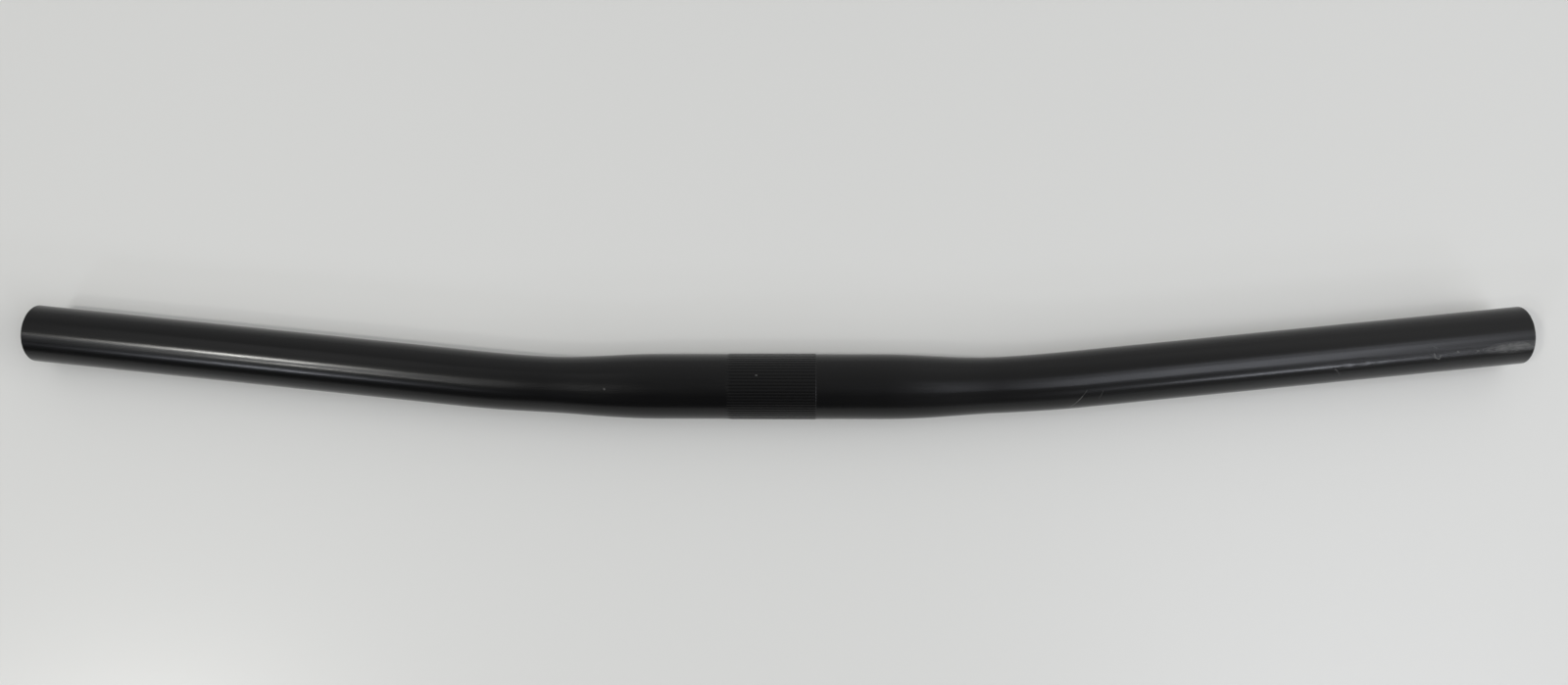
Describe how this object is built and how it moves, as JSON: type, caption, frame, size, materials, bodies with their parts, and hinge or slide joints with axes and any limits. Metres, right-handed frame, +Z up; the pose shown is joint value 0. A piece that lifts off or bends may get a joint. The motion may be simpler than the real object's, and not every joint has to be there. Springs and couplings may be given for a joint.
{
  "type": "flat handlebar",
  "caption": "Flat bicycle handlebar: a hollow tube with a thicker, knurled clamp section in the middle and arms that sweep back gently.",
  "frame": {"origin": "middle of the clamp section, on its axis", "axes": "+X along the clamp axis towards the right arm, +Y the way the arms sweep back, +Z up from the surface that the bar lies on"},
  "size_m": [0.5842, 0.045, 0.0256],
  "materials": {
    "black_tube": "satin black anodised"
  },
  "bodies": {
    "root": {"handlebar_tube": "black_tube"}
  },
  "joints": []
}
